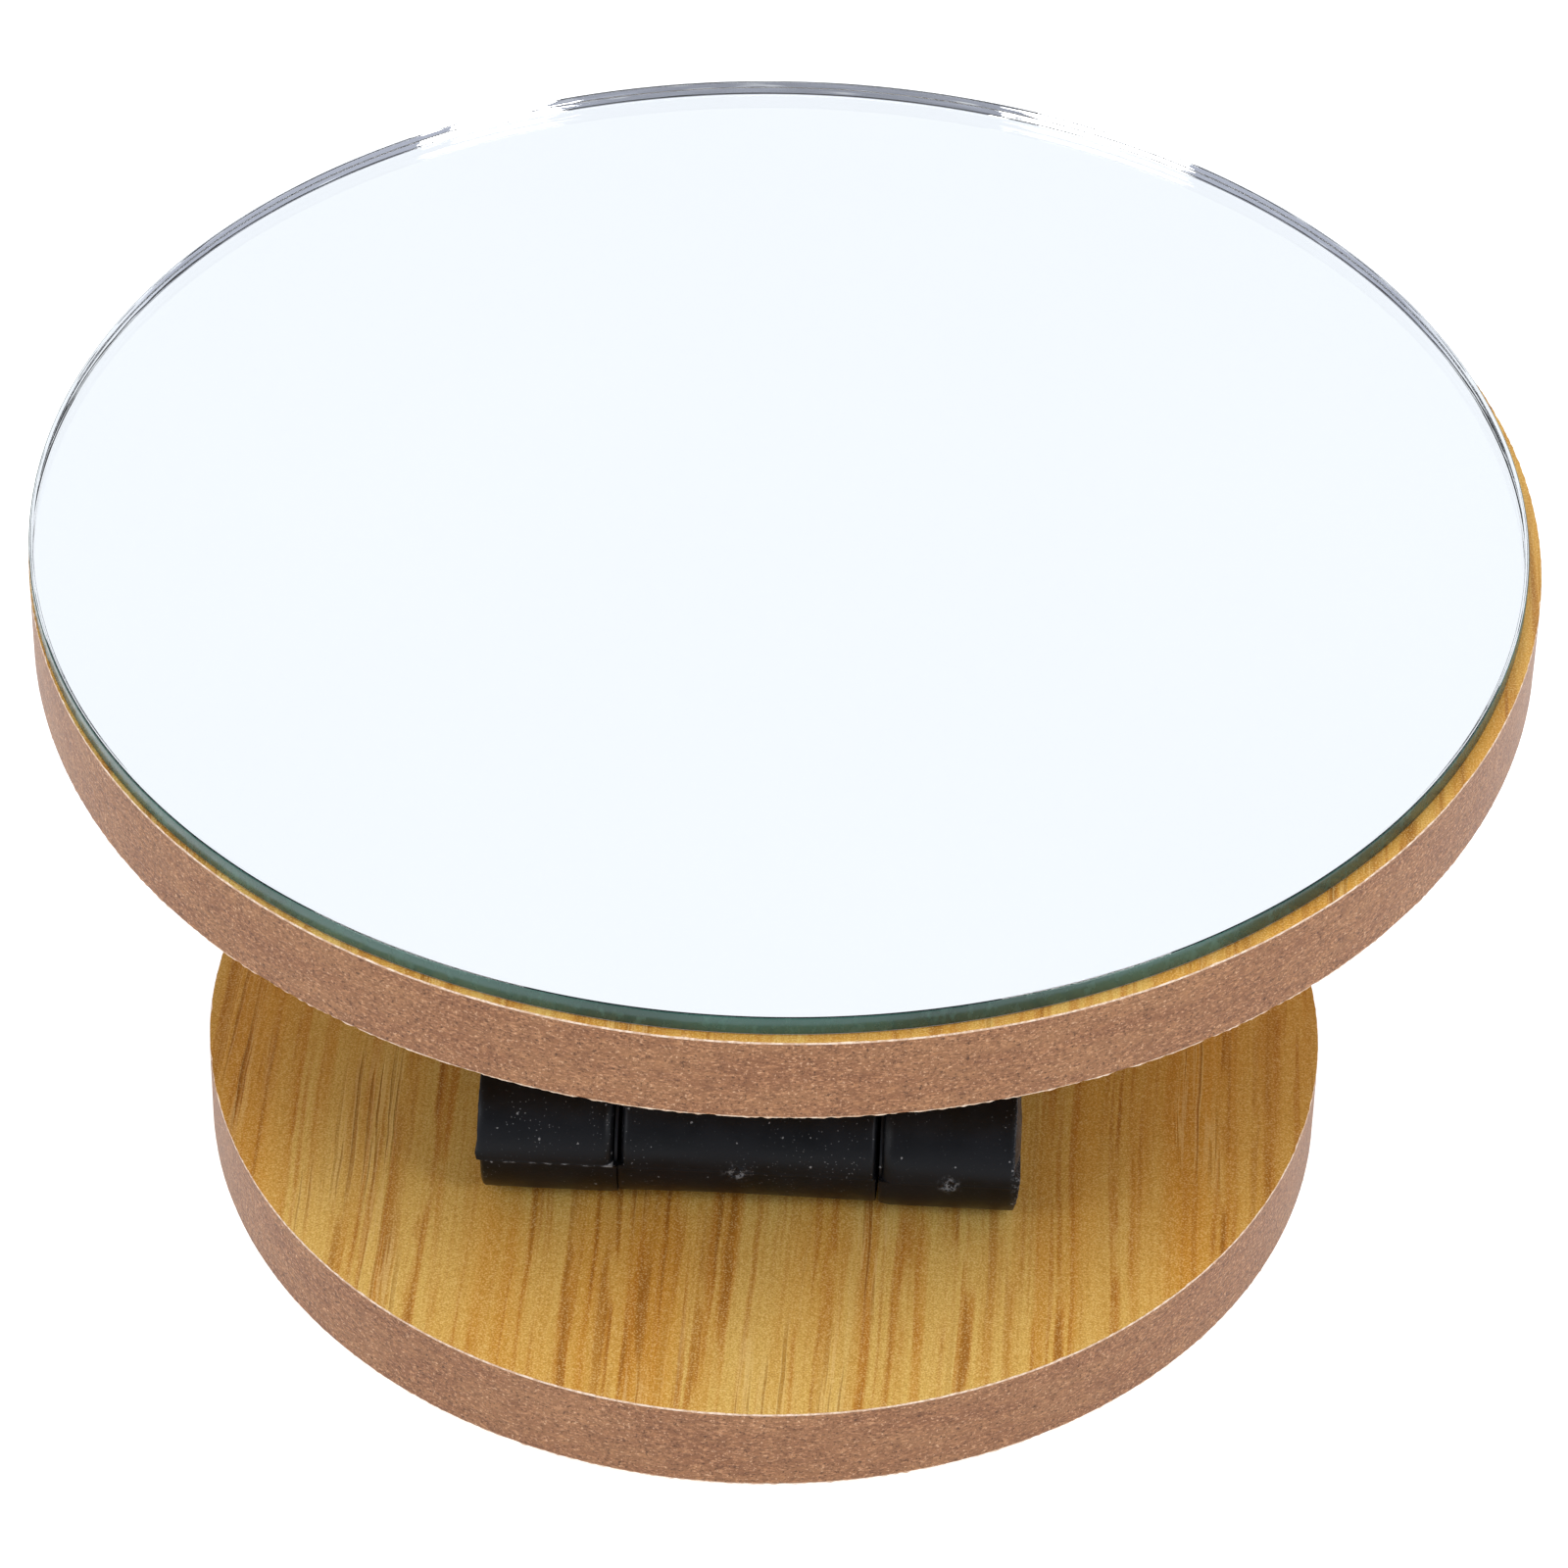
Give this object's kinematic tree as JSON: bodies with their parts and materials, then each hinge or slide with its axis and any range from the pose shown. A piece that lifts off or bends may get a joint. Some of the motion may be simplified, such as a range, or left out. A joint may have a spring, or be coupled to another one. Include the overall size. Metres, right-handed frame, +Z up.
{
  "type": "tilting turntable display stand",
  "caption": "Tilting turntable display stand: a round mirror-topped board turns on a thin ball bearing, and a friction hinge on a small round base tilts it forward.",
  "frame": {"origin": "on the table under the centre of the round base, on the underside of the anti-slip pad", "axes": "+Z up, +Y to the rear, away from the hinge barrel, +X to the right, along the hinge pin"},
  "size_m": [0.2, 0.2127, 0.0688],
  "materials": {
    "board_core": "raw sawn fibreboard edge",
    "oak_laminate": "printed oak paper, satin, lightly pored",
    "black_plastic": "satin injection-moulded plastic with flash and gate marks",
    "screw_steel": "zinc plated",
    "pin_steel": "ground, bright",
    "plate_steel": "zinc-plated pressed sheet",
    "brass": "pressed sheet",
    "white_nylon": "turned",
    "rubber_pad": "matt",
    "mirror_glue": "cured glue",
    "mirror_paint": "silvered, with its backing paint",
    "mirror_glass": "clear float glass with a ground edge"
  },
  "bodies": {
    "base": {"base_pad": "rubber_pad", "base_board": "board_core", "base_upper_laminate": "oak_laminate", "base_lower_laminate": "oak_laminate", "lower_hinge_leaf": "black_plastic", "lower_leaf_screws": "screw_steel", "hinge_pin": "pin_steel", "friction_washers": "black_plastic", "stop_bumpers": "rubber_pad"},
    "tilt_carrier": {"upper_hinge_leaf": "black_plastic", "friction_sleeve": "white_nylon", "upper_leaf_screws": "screw_steel", "carrier_board": "board_core", "carrier_upper_laminate": "oak_laminate", "carrier_lower_laminate": "oak_laminate", "bearing_lower_plate": "plate_steel", "bearing_lower_screws": "screw_steel", "bearing_rivet": "brass"},
    "ball_ring": {"ball_cage": "brass", "bearing_balls": "pin_steel"},
    "turntable": {"bearing_upper_plate": "plate_steel", "bearing_upper_screws": "screw_steel", "top_board": "board_core", "top_upper_laminate": "oak_laminate", "top_lower_laminate": "oak_laminate", "mirror_adhesive": "mirror_glue", "mirror_backing": "mirror_paint", "mirror_glass": "mirror_glass"}
  },
  "joints": [
    {"name": "tilt", "type": "hinge", "parent": "base", "child": "tilt_carrier", "pos_m": [0, -0.0312, 0.0232], "axis": [1, 0, 0], "range_deg": [0, 55]},
    {"name": "spin", "type": "hinge", "parent": "tilt_carrier", "child": "turntable", "pos_m": [0, 0.039, 0.0492], "axis": [0, 0, 1], "continuous": true},
    {"name": "ball_ring_spin", "type": "hinge", "parent": "tilt_carrier", "child": "ball_ring", "pos_m": [0, 0.039, 0.0492], "axis": [0, 0, 1], "continuous": true}
  ],
  "couplings": [
    {"joint": "ball_ring_spin", "follows": "spin", "ratio": 0.5}
  ]
}
